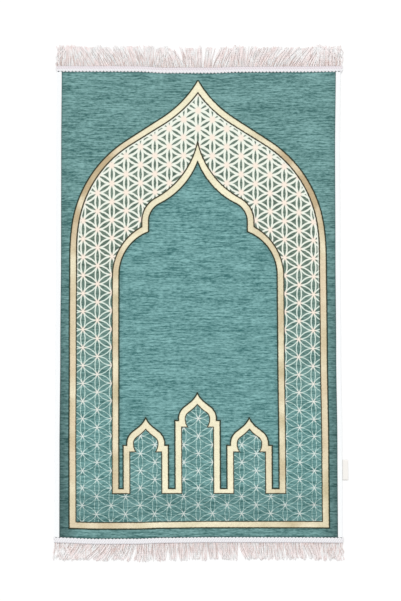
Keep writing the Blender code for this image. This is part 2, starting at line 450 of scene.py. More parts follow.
def in_design(across, along):
    """The design sits a hair off the cloth's middle and leans a little with the weave."""
    return across + 0.0002 + along * 0.0031, along + 0.0029 - ramp(along, 0.43, 0.54) * 0.0013


tip = drawing(*in_design(np.array([0.0]), np.array([0.5])))
print("signed distances near the tip", [round(float(d[0]), 4) for d in tip])

# %% [markdown]
# ## The lattice
# Between the two bands the cloth is filled with the old compass pattern of overlapping circles: each
# circle's centre lies on its neighbours' lines. Between three neighbouring centres only three arcs pass,
# so any point can be folded back into one triangle and measured against those three.

# %% Distance to the circles' lines and to the nearest centre
COLUMN = 0.0341  # from one column of centres to the next
ROW = 0.0433  # from centre to centre up a column, and the circles' radius
ROWS_TIGHTEN_BELOW = -0.080
TIGHTER = 1.826  # extra rows for each square metre below that, towards the foot
FIRST_ROW = -0.0140
HIGH = math.sqrt(0.75)  # a triangle's height for a side of 1


def sagged(across, along):
    """Where a point was before the weft sagged, more to the right than the left, and more at the head."""
    upper = ramp(along, -0.12, 0.06)
    near_foot = ramp(along, -0.38, -0.50)
    aside = between(upper, 0.0010, -0.0008) + near_foot * 0.0016
    sag = ramp(along, -0.40, 0.10) * across * (across * 0.064 + 0.0064)
    return (across + aside) * between(upper, 0.9962, 0.9895), along + (sag - near_foot * 0.0018)


def lattice(across, along):
    """(distance to the nearest line, distance to the nearest centre), both in rows."""
    across, along = sagged(across, along)
    below = lesser(along - ROWS_TIGHTEN_BELOW, 0.0)
    rows = (along - FIRST_ROW) / ROW - below * below * TIGHTER
    slant = across / COLUMN
    upright = rows - slant * 0.5
    slant = slant - calc("FLOOR", slant)
    upright = upright - calc("FLOOR", upright)
    far_half = above(slant + upright, 1.0)
    slant = between(far_half, slant, 1.0 - slant)
    upright = between(far_half, upright, 1.0 - upright)
    x, y = slant * HIGH, upright + slant * 0.5
    line = None
    for centre_x, centre_y in ((HIGH, 1.5), (-HIGH, 0.5), (HIGH, -0.5)):
        one = size_of(reach(x - centre_x, y - centre_y) - 1.0)
        line = one if line is None else lesser(line, one)
    centre = None
    for centre_x, centre_y in ((0.0, 0.0), (HIGH, 0.5), (0.0, 1.0)):
        one = reach(x - centre_x, y - centre_y)
        centre = one if centre is None else lesser(centre, one)
    return line, centre


line, centre = lattice(np.array([0.0]), np.array([FIRST_ROW]))
print("at a centre, line and centre are", round(float(line[0]), 3), round(float(centre[0]), 3), "rows away")

# %% [markdown]
# ## Finish for the cloth
# Chenille catches the light in short level streaks, because each weft pick is a furry yarn that leans its
# own way. Noise stretched along the weft gives the streaks. The gold and cream are flat woven, so they
# are smoother, with a fine rib and a slow drift between tan and cream; the gold also has a painted pool
# of light over the rug's middle. The yarn masks come from the drawing above, and painted shade
# darkens the cloth along the tapes and the braids.

# %% Helpers for materials


def new_finish(name, roughness):
    """(tree, principled shader) of a new node material."""
    material = bpy.data.materials.new(name)
    material.use_nodes = True
    shader = material.node_tree.nodes["Principled BSDF"]
    shader.inputs["Roughness"].default_value = roughness
    shader.inputs["Specular IOR Level"].default_value = 0.25
    return material, material.node_tree, shader


def cloth_place(tree):
    """The two flat measures that a piece's cloth map holds, as wires."""
    uv = tree.nodes.new("ShaderNodeUVMap")
    uv.uv_map = "cloth"
    parts = tree.nodes.new("ShaderNodeSeparateXYZ")
    tree.links.new(uv.outputs["UV"], parts.inputs[0])
    return Wire(parts.outputs["X"]), Wire(parts.outputs["Y"])


def vector(tree, x, y, z=0.0):
    node = tree.nodes.new("ShaderNodeCombineXYZ")
    for socket, value in zip(node.inputs, (x, y, z)):
        plug(socket, value)
    return Wire(node.outputs[0])


def noise(tree, place, scale, detail=0.0, roughness=0.5):
    """Smooth noise from 0 to 1 at this many cells to the unit."""
    node = tree.nodes.new("ShaderNodeTexNoise")
    node.noise_dimensions = "3D"
    plug(node.inputs["Vector"], place)
    node.inputs["Scale"].default_value = scale
    node.inputs["Detail"].default_value = detail
    node.inputs["Roughness"].default_value = roughness
    return Wire(node.outputs["Fac"])


def cloth_noise(tree, across, along, cells_across, cells_along, layer=0.0, detail=0.0, roughness=0.5):
    """Noise drawn out one way, with this many cells to the metre across and along."""
    place = vector(tree, across * cells_across, along * cells_along, layer)
    return noise(tree, place, 1.0, detail, roughness)


def mix(tree, share, low, high):
    """A colour between two."""
    node = tree.nodes.new("ShaderNodeMix")
    node.data_type = "RGBA"
    plug(node.inputs["Factor"], share)
    plug(node.inputs[6], low)
    plug(node.inputs[7], high)
    return Wire(node.outputs[2])


def shade(tree, colour, by):
    """A colour made lighter or darker by a number."""
    node = tree.nodes.new("ShaderNodeVectorMath")
    node.operation = "SCALE"
    plug(node.inputs[0], colour if isinstance(colour, Wire) else colour[:3])
    plug(node.inputs["Scale"], by)
    return Wire(node.outputs[0])


def raise_surface(tree, shader, height, depth):
    """Bump from a height of 0 to 1, where 1 stands this many metres proud."""
    node = tree.nodes.new("ShaderNodeBump")
    node.inputs["Distance"].default_value = depth
    plug(node.inputs["Height"], height)
    tree.links.new(node.outputs["Normal"], shader.inputs["Normal"])


def display(red, green, blue):
    """A shader colour that a screen shows as these numbers, 0 to 255, where it lies level in this light."""
    shown = np.array([red, green, blue]) / 255.0
    linear = np.where(shown <= 0.04045, shown / 12.92, ((shown + 0.055) / 1.055) ** 2.4)
    return (*map(float, linear / LIGHT_LEVEL), 1.0)


print("teal as a shader colour", [round(c, 3) for c in display(107, 156, 154)])

# %% The cloth's colours and outlines
TEAL_DEEP, TEAL_PALE = display(56, 110, 110), display(138, 188, 187)
BORDER_DEEP, BORDER_PALE = display(56, 104, 102), display(136, 181, 179)
UPPER_DEEP, UPPER_PALE = display(74, 96, 84), display(128, 146, 132)
LOWER_DEEP, LOWER_PALE = display(56, 106, 104), display(128, 174, 172)
CREAM = display(245, 250, 237)
WARM_CREAM = display(253, 239, 224)
MINT = display(202, 234, 226)
STAR_WHITE = display(236, 246, 240)
GOLD = display(216, 202, 164)
PALE_GOLD = display(250, 240, 208)
PINK_GOLD = display(240, 218, 186)
TAN = display(206, 184, 146)
# painted light: the gold as the light falls on it in the rug's middle
PAINTED_LIGHT_GOLD = display(255, 250, 218)
OUTLINE = display(36, 46, 28)
INNER_OUTLINE = display(60, 56, 38)
OUTLINE_HALF = 0.00175
INNER_OUTLINE_HALF = 0.0013
EDGE = 0.0005  # how softly one yarn gives way to the next
RIM_IN, RIM_HALF = 0.0032, 0.0013  # the cream line that edges the lattice inside the upper outer band


def inside(distance, edge=EDGE):
    """1 where a signed distance is less than 0, with a soft edge."""
    return ramp(distance, edge, -edge)


# %% How light the yarn is at each place
Yarn = namedtuple("Yarn", "across along short flecks streaks lit")


def read_yarn(tree, across, along):
    """The cloth's streaks. lit says how light the yarn is, from 0 to 1."""
    short = cloth_noise(tree, across, along, 95.0, 300.0, 0.0, 2.0, 0.55)
    long = cloth_noise(tree, across, along, 24.0, 280.0, 2.0, 1.0)
    patches = cloth_noise(tree, across, along, 9.0, 40.0, 5.0, 1.0)
    flecks = cloth_noise(tree, across, along, 260.0, 700.0, 9.0)
    streaks = short * 0.55 + long * 0.45
    lit = ramp(streaks + (patches - 0.5) * 0.22 + (flecks - 0.5) * 0.12, 0.357, 0.643)
    return Yarn(across, along, short, flecks, streaks, lit)


# %% The border outside the bands
TAPE_SHADE = 0.018  # how far in from a tape the cloth is still shaded
SIDE_STRIP = (0.285, 0.305)
LEFT_FOOT_DARKENING, RIGHT_FOOT_DARKENING = 0.36, 0.27  # how much darker the side strips are towards the foot


def from_tape(across):
    """How far in from the nearer tape a place is."""
    return HALF_WIDTH - TAPE_SHOWN - size_of(across)


def border_colour(tree, yarn):
    across, along = yarn.across, yarn.along
    border = mix(tree, yarn.lit, BORDER_DEEP, BORDER_PALE)
    at_tape = between(ramp(along, 0.3, -0.3), 0.84, 0.66)
    border = shade(tree, border, between(ramp(from_tape(across), 0.0, TAPE_SHADE), at_tape, 1.0))
    # The side strips are made darker towards the foot, more on the left than on the right.
    left_darkening = ramp(along, 0.25, -0.40) * LEFT_FOOT_DARKENING
    right_darkening = ramp(along, 0.36, -0.40) * RIGHT_FOOT_DARKENING
    foot_darkening = ramp(size_of(across), *SIDE_STRIP) * between(ramp(across, -0.3, 0.3), left_darkening, right_darkening)
    return shade(tree, border, (1.0 - foot_darkening) * between(ramp(along, -0.520, -0.535), 1.0, 0.92))


# %% The lattice's colours
LINE_THIN, LINE_THICK = 0.0007, 0.0032  # half a line's width at the foot and at the head


def lattice_colours(tree, yarn, across_drawn, along_drawn, inner):
    """The ground and the lines on it. Towards the foot the ground turns teal and the lines thin and break."""
    line, centre = lattice(across_drawn, along_drawn)
    height = ramp(along_drawn, -0.38, 0.47)
    half_line = between(calc("POWER", height, 1.5), LINE_THIN, LINE_THICK) / ROW
    low = ramp(along_drawn, -0.05, -0.33)
    teal_share = ramp(along_drawn, 0.12, -0.28)
    ground_deep = mix(tree, teal_share, UPPER_DEEP, LOWER_DEEP)
    ground_pale = mix(tree, teal_share, UPPER_PALE, LOWER_PALE)
    ground = mix(tree, yarn.lit, ground_deep, ground_pale)
    star = ramp(centre, 0.26, 0.12)
    dots = ramp(yarn.short + (yarn.flecks - 0.5) * 0.5, 0.36, 0.60)
    rim = inside(size_of(inner + RIM_IN) - RIM_HALF) * ramp(along_drawn, 0.0, 0.15)
    drawn = greater(inside(line - half_line, 0.0006 / ROW), rim)
    strength = between(low, 1.0, greater(between(dots, 0.38, 1.0), star))
    line_colour = mix(tree, teal_share, CREAM, MINT)
    star_colour = mix(tree, low, WARM_CREAM, STAR_WHITE)
    line_colour = mix(tree, star, line_colour, star_colour)
    colour = mix(tree, drawn * strength, ground, line_colour)
    return shade(tree, colour, between(ramp(yarn.along, -0.43, -0.46), 1.0, 0.85))


# %% The gold's colours


def gold_colour(tree, across, along):
    """Gold yarn in slow drifts, with tan patches where the arches slant, a painted pool of light over the
    rug's middle and painted shade at its sides.
    """
    drift = noise(tree, vector(tree, across, along, 3.0), 17.0, 1.0)
    blush = noise(tree, vector(tree, across, along, 8.0), 12.0, 1.0)
    gold = mix(tree, ramp(drift, 0.36, 0.64), GOLD, PALE_GOLD)
    gold = mix(tree, ramp(blush, 0.42, 0.70) * 0.6, gold, PINK_GOLD)
    slanted = ramp(along, 0.10, 0.20) * ramp(along, 0.46, 0.34)
    gold = mix(tree, ramp(drift, 0.60, 0.40) * slanted, gold, TAN)
    foot_share = between(ramp(along, -0.535, -0.505), 0.4, 0.8)
    # Painted light: the gold pales towards the rug's middle, and painted shade darkens it at the sides.
    middle = ramp(size_of(across), 0.20, 0.10) * foot_share
    gold = mix(tree, middle, gold, PAINTED_LIGHT_GOLD)
    gold = shade(tree, gold, between(middle, 0.95, 1.0))
    fine = cloth_noise(tree, across, along, 420.0, 520.0, 7.0)
    uneven = cloth_noise(tree, across, along, 160.0, 240.0, 4.0, 1.0)
    return shade(tree, gold, 0.96 + (fine - 0.5) * 0.34 + (uneven - 0.5) * 0.30)


# %% The cloth's material put together
WANDER = 0.0012  # how far the yarn strays from the drawing
FIELD_SHADE = 0.010  # how far in from its outline the field is still shaded


def make_cloth_finish():
    material, tree, shader = new_finish("chenille_cloth", 0.88)
    across, along = cloth_place(tree)
    yarn = read_yarn(tree, across, along)
    wander = noise(tree, vector(tree, across, along), 190.0)
    stray = (wander - 0.5) * WANDER
    across_drawn, along_drawn = in_design(across + stray, along + stray)
    outer, inner, pattern, field = drawing(across_drawn, along_drawn)

    teal = mix(tree, yarn.lit, TEAL_DEEP, TEAL_PALE)
    teal = shade(tree, teal, between(ramp(field, 0.0, -FIELD_SHADE), 0.76, 1.0))
    gold = gold_colour(tree, across, along)
    in_band = lattice_colours(tree, yarn, across_drawn, along_drawn, inner)
    colour = mix(tree, inside(inner), border_colour(tree, yarn), in_band)
    colour = mix(tree, inside(pattern), colour, gold)
    colour = mix(tree, inside(field), colour, teal)
    colour = mix(tree, inside(outer) * (1.0 - inside(inner)), colour, gold)

    to_inner = lesser(size_of(inner), size_of(pattern))
    to_outer = lesser(size_of(outer), size_of(field))
    inner_half = between(ramp(along, 0.02, 0.14), INNER_OUTLINE_HALF, OUTLINE_HALF)
    colour = mix(tree, inside(to_inner - inner_half, 0.0006), colour, INNER_OUTLINE)
    colour = mix(tree, inside(to_outer - OUTLINE_HALF, 0.0008), colour, OUTLINE)
    # Painted shade: the cloth is darkened in the crevices where it meets the tapes and the braids.
    to_braid = lesser(HEAD_END - BRAID_WIDTH - along, along - (FOOT_END + BRAID_WIDTH))
    colour = shade(tree, colour, between(ramp(from_tape(across), 0.0, 0.0035), 0.62, 1.0))
    colour = shade(tree, colour, between(ramp(to_braid, -0.0005, 0.0040), 0.36, 1.0))
    plug(shader.inputs["Base Color"], colour)
    shader.inputs["Sheen Weight"].default_value = 0.15
    shader.inputs["Sheen Roughness"].default_value = 0.5
    raise_surface(tree, shader, yarn.streaks * 0.7 + yarn.flecks * 0.3, 0.0005)
    return material


cloth_finish = make_cloth_finish()
print("cloth material with", len(cloth_finish.node_tree.nodes), "nodes")

# %% [markdown]
# ## The woven cloth
# A rug is a sheet, so the cloth starts as a flat grid in its own measure. There are two rows of the grid
# to a weft pick, a crest and a valley, so the ribs are real. Chenille picks stand up unevenly along their
# length, while the gold and cream yarns lie flat. The rim is pulled down and filled to close the sheet,
# and then every point is laid on the floor.

# %% Working helpers for meshes


def deselect_all():
    if bpy.context.mode != "OBJECT":
        bpy.ops.object.mode_set(mode="OBJECT")
    bpy.ops.object.select_all(action="DESELECT")


def points_of(piece):
    """The piece's points as an array, a row each."""
    flat = np.empty(len(piece.data.vertices) * 3, np.float64)
    piece.data.vertices.foreach_get("co", flat)
    return flat.reshape(-1, 3)


def put_points(piece, points):
    piece.data.vertices.foreach_set("co", np.ascontiguousarray(points, np.float64).ravel())
    piece.data.update()


def map_cloth(piece, places):
    """Gives the piece a map called cloth, from two flat measures for each point."""
    piece.data.uv_layers.new(name="cloth")
    layer = piece.data.uv_layers["cloth"]
    corner_points = np.empty(len(piece.data.loops), np.int32)
    piece.data.loops.foreach_get("vertex_index", corner_points)
    layer.data.foreach_set("uv", np.ascontiguousarray(places[corner_points], np.float32).ravel())


def finish_piece(piece, name, finish, node):
    """Names a piece, gives it its finish and puts it in place of a frame solid."""
    piece.name = name
    piece.data.name = name
    piece.data.materials.clear()
    piece.data.materials.append(finish)
    deselect_all()
    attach(piece, "root")
    if node:
        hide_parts(node)
    piece.data.calc_loop_triangles()
    print(name, "has", len(piece.data.loop_triangles), "triangles")


def grid(columns, rows):
    """A flat grid 1 wide and 1 long, with no map of its own."""
    deselect_all()
    bpy.ops.mesh.primitive_grid_add(x_subdivisions=columns, y_subdivisions=rows, size=1.0, calc_uvs=False)
    return bpy.context.object


print("helpers ready")

# %% The cloth's mesh
PICK = 0.00295  # from one weft pick to the next
PILE = 0.0006  # how far the tallest chenille crest stands above its valley
FLAT_WEAVE = 0.00015  # the same for gold and cream yarn
CLOTH_COLUMNS = 118
FACE_HIGH = 0.0026
PRESSED_LOW, PRESSED_HIGH = 0.0009, 0.0021
PRESS_SLOPE = 0.004
CLOTH_HALF = HALF_WIDTH - 0.0022
CLOTH_HEAD, CLOTH_FOOT = HEAD_END - 0.005, FOOT_END + 0.005
WEAVE_EASE = 0.004  # the pile gives way to flat yarn over this width
FLAT_SUNK = 0.0003
UNDER_HIGH = 0.0002


def pile_height(across, pick):
    """How tall each crest is at each place, 0 to 1: random, and changing over a centimetre of the pick."""
    rng = np.random.default_rng(7)
    cell = 0.011
    cells = int(2.2 * HALF_WIDTH / cell)
    tall = rng.random((int(pick.max()) + 2, cells + 2))
    at = (across + 1.1 * HALF_WIDTH) / cell + rng.random(len(tall))[pick]
    start = np.clip(at.astype(int), 0, cells)
    share = eased(at - start)
    return tall[pick, start] * (1.0 - share) + tall[pick, start + 1] * share


def make_cloth():
    rows = 4 * int((CLOTH_HEAD - CLOTH_FOOT) / PICK / 2.0)
    piece = grid(CLOTH_COLUMNS, rows)
    bpy.ops.object.mode_set(mode="EDIT")
    bpy.ops.mesh.select_mode(type="EDGE")
    bpy.ops.mesh.select_all(action="DESELECT")
    bpy.ops.mesh.select_non_manifold()
    bpy.ops.mesh.extrude_region_move(TRANSFORM_OT_translate={"value": (0.0, 0.0, -1.0)})
    bpy.ops.mesh.edge_face_add()
    bpy.ops.mesh.select_all(action="SELECT")
    bpy.ops.mesh.normals_make_consistent(inside=False)
    bpy.ops.object.mode_set(mode="OBJECT")
    flat = points_of(piece)
    across = flat[:, 0] * 2.0 * CLOTH_HALF
    along = (flat[:, 1] + 0.5) * (CLOTH_HEAD - CLOTH_FOOT) + CLOTH_FOOT
    row = np.rint((flat[:, 1] + 0.5) * rows).astype(int)
    crest = row % 2
    outer, inner, _, field = drawing(*in_design(across, along))
    within = [np.clip(0.5 - distance / WEAVE_EASE, 0, 1) for distance in (outer, inner, field)]
    woven_flat = np.maximum(within[1] * (1.0 - within[2]), within[0] * (1.0 - within[1]))
    tall = 0.35 + 0.65 * pile_height(across, row // 2)
    height = crest * ((1.0 - woven_flat) * PILE * tall + woven_flat * FLAT_WEAVE)
    height = height - woven_flat * FLAT_SUNK
    edge_away = np.minimum(HALF_WIDTH - TAPE_SHOWN - np.abs(across), HEAD_END - BRAID_WIDTH - along)
    edge_away = np.minimum(edge_away, along - FOOT_END - BRAID_WIDTH)
    pressed = eased(1.0 - edge_away / PRESS_SLOPE)
    face = between(pressed, FACE_HIGH - PILE + height + swell(across, along), PRESSED_HIGH)
    under = np.where(pressed > 0.5, PRESSED_LOW, UNDER_HIGH)
    x, y = lay(across, along)
    put_points(piece, np.column_stack([x, y, np.where(flat[:, 2] > -0.5, face, under)]))
    map_cloth(piece, np.column_stack([across, along]))
    piece.data.shade_smooth()
    return piece


cloth = make_cloth()
finish_piece(cloth, "chenille_cloth", cloth_finish, "woven_panel")

# %% [markdown]
# ## Strips and strands
# The tapes, the braids, the stitches and the fringe are all long things with a cross-section. Each can be
# made by giving that cross-section many times along its length and joining the copies, which leaves only
# the two ends to close. One function does it for any number of strands at once, because a fringe has
# hundreds.

# %% One helper for everything long


def strands(rings):
    """A piece made of strands. rings is (strand, ring, point, 3), the points going round each ring.

    The map called strand holds how far round a point is, 0 to 1, and how far along it is in metres.
    """
    count, length, sides, _ = rings.shape
    step = np.linalg.norm(np.diff(rings.mean(axis=2), axis=1), axis=2)
    run = np.concatenate([np.zeros((count, 1)), np.cumsum(step, axis=1)], axis=1)
    first = (np.arange(count * length) * sides).reshape(count, length)
    ring, point = first[:, :-1, None], np.arange(sides)[None, None, :]
    following = (point + 1) % sides
    corners = [ring + point, ring + following, ring + sides + following, ring + sides + point]
    quads = np.stack(corners, axis=-1).reshape(-1, 4)
    start_caps = (first[:, :1] + np.arange(sides)[None, ::-1]).tolist()
    end_caps = (first[:, -1:] + np.arange(sides)[None, :]).tolist()
    mesh = bpy.data.meshes.new("strands")
    mesh.from_pydata(rings.reshape(-1, 3).tolist(), [], quads.tolist() + start_caps + end_caps)
    piece = bpy.data.objects.new("strands", mesh)
    bpy.context.scene.collection.objects.link(piece)
    turn = np.stack([point, point + 1, point + 1, point], axis=-1) / sides
    turn = turn * np.ones((count, length - 1, 1, 1))
    here, there = run[:, :-1, None], run[:, 1:, None]
    far = np.stack([here, here, there, there], axis=-1) * np.ones((1, 1, sides, 1))
    places = np.stack([turn, far], axis=-1).reshape(-1, 2)
    caps = np.zeros((2 * count * sides, 2))
    mesh.uv_layers.new(name="strand")
    mesh.uv_layers["strand"].data.foreach_set("uv", np.concatenate([places, caps]).astype(np.float32).ravel())
    mesh.shade_smooth()
    return piece


def loop_round(count):
    """The angles of the points of a round ring."""
    return np.arange(count) * 2.0 * math.pi / count


print("a strand is rings of points, joined and capped")

# %% [markdown]
# ## The side tapes
# Each long edge is bound with a white tape folded over it, as a tailor binds a seam. Its section is a
# narrow C with a round outer edge, and its two leaves lie just clear of the pressed cloth between them. A
# row of machine stitches runs near the inner edge, and each stitch pulls the tape down a little.

# %% The tape's finish
TAPE_WHITE = display(250, 252, 253)
TAPE_RIB = 0.0011


def make_tape_finish():
    material, tree, shader = new_finish("binding_tape", 0.7)
    across, along = cloth_place(tree)
    ribs = calc("SINE", along * (2.0 * math.pi / TAPE_RIB)) * 0.5 + 0.5
    threads = cloth_noise(tree, across, along, 1500.0, 500.0)
    colour = shade(tree, TAPE_WHITE, 1.01 + (threads - 0.5) * 0.06 + ribs * 0.02)
    plug(shader.inputs["Base Color"], colour)
    raise_surface(tree, shader, ribs * 0.6 + threads * 0.4, 0.0001)
    return material


tape_finish = make_tape_finish()
print("tape finish with", len(tape_finish.node_tree.nodes), "nodes")

# %% The tapes and their stitches
TAPE_HIGH = 0.0032
TAPE_LEAF = 0.0006
TAPE_STEP = 0.00175
STITCH_PITCH, STITCH_LONG, STITCH_THICK = 0.0035, 0.0025, 0.0004
STITCH_IN = 0.0015  # stitch line to the tape's inner edge
PULLED = 0.0001


def tape_section():
    """(distance in from the outer edge, height) round the folded tape, outer face and then inner face."""
    round_edge = TAPE_HIGH / 2.0
    bend = np.radians(np.linspace(90.0, 270.0, 9))
    top = [(TAPE_SHOWN, TAPE_HIGH - 0.0002)]
    top += [(TAPE_SHOWN - step, TAPE_HIGH) for step in (0.0003, STITCH_IN, 0.0035, 0.006)]
    outside = top + [(round_edge * (1.0 + math.cos(a)), round_edge * (1.0 + math.sin(a))) for a in bend]
    outside += [(0.006, 0.0), (TAPE_SHOWN, 0.0)]
    hollow = round_edge - TAPE_LEAF
    inside_face = [(TAPE_SHOWN, TAPE_LEAF), (0.006, TAPE_LEAF)]
    for a in bend[::-2]:
        inside_face.append((round_edge + hollow * math.cos(a), round_edge + hollow * math.sin(a)))
    inside_face += [(0.006, TAPE_HIGH - TAPE_LEAF), (TAPE_SHOWN, TAPE_HIGH - TAPE_LEAF)]
    return np.array(outside + inside_face)


def make_tape(side):
    section = tape_section()
    along = np.arange(TAPE_FOOT, HEAD_END - BRAID_WIDTH - 0.0003, TAPE_STEP)
    inwards = section[:, 0][None, :]
    across = side * (HALF_WIDTH - inwards) * np.ones((len(along), 1))
    along = along[:, None] * np.ones((1, len(section)))
    stitched = np.cos(math.pi * along / STITCH_PITCH) ** 2
    near_stitch = np.exp(-(((inwards - TAPE_SHOWN + STITCH_IN) / 0.001) ** 2))
    high = section[:, 1][None, :] - PULLED * stitched * near_stitch * (section[:, 1] > TAPE_HIGH - 0.0001)
    x, y = lay(across, along)
    rings = np.stack([x, y, high], axis=-1)[None]
    if side > 0:
        rings = rings[:, :, ::-1]
    piece = strands(rings)
    places = np.stack([across, along], axis=-1)
    if side > 0:
        places = places[:, ::-1]
    map_cloth(piece, places.reshape(-1, 2))
    return piece


def make_stitches(side):
    along = np.arange(TAPE_FOOT + STITCH_PITCH, HEAD_END - BRAID_WIDTH - STITCH_PITCH, STITCH_PITCH)
    share = np.linspace(0.0, 1.0, 5)[None, :, None]
    angle = loop_round(5)[None, None, :]
    thick = STITCH_THICK / 2.0 * (0.55 + 0.45 * np.sin(math.pi * share))
    run = along[:, None, None] + (share - 0.5) * STITCH_LONG + 0.0 * angle
    across = side * (HALF_WIDTH - TAPE_SHOWN + STITCH_IN) + thick * np.cos(angle) * side + 0.0 * run
    high = TAPE_HIGH - 0.0002 + 0.0003 * np.sin(math.pi * share) + thick * np.sin(angle) + 0.0 * run
    x, y = lay(across, run)
    rings = np.stack([x, y, high], axis=-1)
    piece = strands(rings if side < 0 else rings[:, :, ::-1])
    map_cloth(piece, np.stack([across, run], axis=-1).reshape(-1, 2))
    return piece


sides = (("left", -1.0), ("right", 1.0))
tapes = {}
stitches = {}
for name, side in sides:
    tapes[name] = make_tape(side)
    finish_piece(tapes[name], "binding_tape_" + name, tape_finish, "side_binding_" + name)
    stitches[name] = make_stitches(side)
    finish_piece(stitches[name], "tape_stitches_" + name, tape_finish, None)

# %% [markdown]
# ## The end braids
# A flat braid is sewn across each cut end. Its plaits bulge in turn to each side, so its inner edge is a
# row of small scallops, about 8 mm apart. Plaits are long ovals that lean towards the middle of the
# braid, like the grains of an ear of wheat. That is a height field over a strip, so each cross-section
# carries its own part.

# %% The braid's finish
BRAID_PITCH = 0.0083
BRAID_WHITE = display(250, 250, 252)
BRAID_PINK = display(248, 239, 243)
# painted shade for the braid's grooves and its outer edge
BRAID_PAINTED_SHADE = display(212, 206, 212)


def make_braid_finish(name, outer_tint):
    material, tree, shader = new_finish(name, 0.75)
    across, out = cloth_place(tree)
    yarn = calc("SINE", (across + out * 0.9) * (2.0 * math.pi / 0.0012)) * 0.5 + 0.5
    fluff = cloth_noise(tree, across, out, 700.0, 500.0, detail=1.0)
    tint = ramp(out + (fluff - 0.5) * 0.002, BRAID_WIDTH * 0.62, BRAID_WIDTH * 0.38)
    colour = mix(tree, tint, BRAID_WHITE, outer_tint)
    rib = calc("SINE", (across + out * 0.5) * (4.0 * math.pi / BRAID_PITCH)) * 0.5 + 0.5
    # Painted shade in the grooves between the plaits, and a painted shadow along the braid's outer edge.
    groove_shade = calc("POWER", rib, 2.0) * between(tint, 0.7, 1.0) * ramp(fluff, 0.20, 0.50)
    colour = mix(tree, greater(groove_shade, ramp(out, 0.0020, 0.0006) * 0.8), colour, BRAID_PAINTED_SHADE)
    colour = shade(tree, colour, 1.0 + (fluff - 0.5) * 0.16 + yarn * 0.03)
    plug(shader.inputs["Base Color"], colour)
    raise_surface(tree, shader, yarn * 0.6 + fluff * 0.4, 0.0002)
    return material


head_braid_finish = make_braid_finish("head_braid", BRAID_PINK)
foot_braid_finish = make_braid_finish("foot_braid", BRAID_WHITE)

# %% The braids' meshes
BRAID_UNDER, BRAID_TOP = 0.0026, 0.0040
Braid = namedtuple("Braid", "outwards edge left right width scallop fringe")
BRAIDS = {  # fringe is how far the cords hang out
    "head": Braid(1.0, HEAD_END, -0.3403, 0.3440, width=BRAID_WIDTH, scallop=0.0014, fringe=0.0475),
    "foot": Braid(-1.0, FOOT_END, -0.3405, 0.3400, width=0.0122, scallop=0.0010, fringe=0.0400),
}
PLAIT_STEPS = 12  # sections to a plait
SECTION = (0.0, 0.015, 0.06, 0.14, 0.24, 0.34, 0.44)  # half of it: the rest mirrors this about the middle


def make_braid(braid):
    """A strip of leaning plaits. out is measured in from the braid's outer edge."""
    steps = int((braid.right - braid.left) / BRAID_PITCH * PLAIT_STEPS)
    run = np.linspace(braid.left, braid.right, steps)[:, None]
    share = np.array([*SECTION, 0.5, *(1.0 - half for half in SECTION[::-1])])[None, :]
    phase = run / BRAID_PITCH * 2.0 * math.pi
    scallop = braid.scallop * (2.0 * np.abs(np.cos(phase / 2.0)) ** 0.8 - 1.2)
    frill = 0.0004 * np.cos(phase + 2.2)
    out = share * (braid.width + scallop) + (1.0 - share) * frill
    lean = np.abs(share - 0.5) * 5.0
    plait = np.sqrt(np.abs(np.cos((phase - lean) / 2.0)))
    row = np.sqrt(np.clip(np.sin(math.pi * np.clip(2.0 * np.abs(share - 0.5), 0.0, 1.0)), 0.0, 1.0))
    rim = eased(np.minimum(share, 1.0 - share) / 0.06)
    bulge = 0.35 + 0.65 * (0.45 + 0.55 * row) * (0.5 + 0.5 * plait)
    top = BRAID_UNDER + (BRAID_TOP - BRAID_UNDER) * bulge * rim
    top = np.maximum(top, BRAID_UNDER + 0.0003)
    bottom = np.full_like(top, BRAID_UNDER)
    across = np.concatenate([run + 0.0 * top, (run + 0.0 * top)[:, ::-1]], axis=1)
    out = np.concatenate([out, out[:, ::-1]], axis=1)
    high = np.concatenate([top, bottom[:, ::-1]], axis=1)
    x, y = lay(across, braid.edge - braid.outwards * out)
    rings = np.stack([x, y, high], axis=-1)[None]
    places = np.stack([across, out], axis=-1)
    if braid.outwards > 0:
        rings, places = rings[:, :, ::-1], places[:, ::-1]
    piece = strands(rings)
    map_cloth(piece, places.reshape(-1, 2))
    return piece


braids = {}
for name, finish in (("head", head_braid_finish), ("foot", foot_braid_finish)):
    braids[name] = make_braid(BRAIDS[name])
    finish_piece(braids[name], "plaited_braid_" + name, finish, "end_braid_" + name)

# %% [markdown]
# ## The fringe
# The fringe is a few hundred short twisted cords caught under the braid. Combed by hand, they part into
# tufts: the cords of a tuft lean the same way and draw together at their tips, and white gaps open
# between tufts that lean apart. Two short tables say how the whole fringe leans from left to right, and
# chance does the rest.

# %% The cords' finish
CORD_COLOUR = display(251, 251, 251)
CORD_WARM = display(255, 243, 242)
CORD_SHADED = display(226, 205, 199)
# painted shade for the lower cords, which lie under the upper ones and the braid
CORD_PAINTED_SHADE = display(220, 200, 194)
TWIST = 0.0045


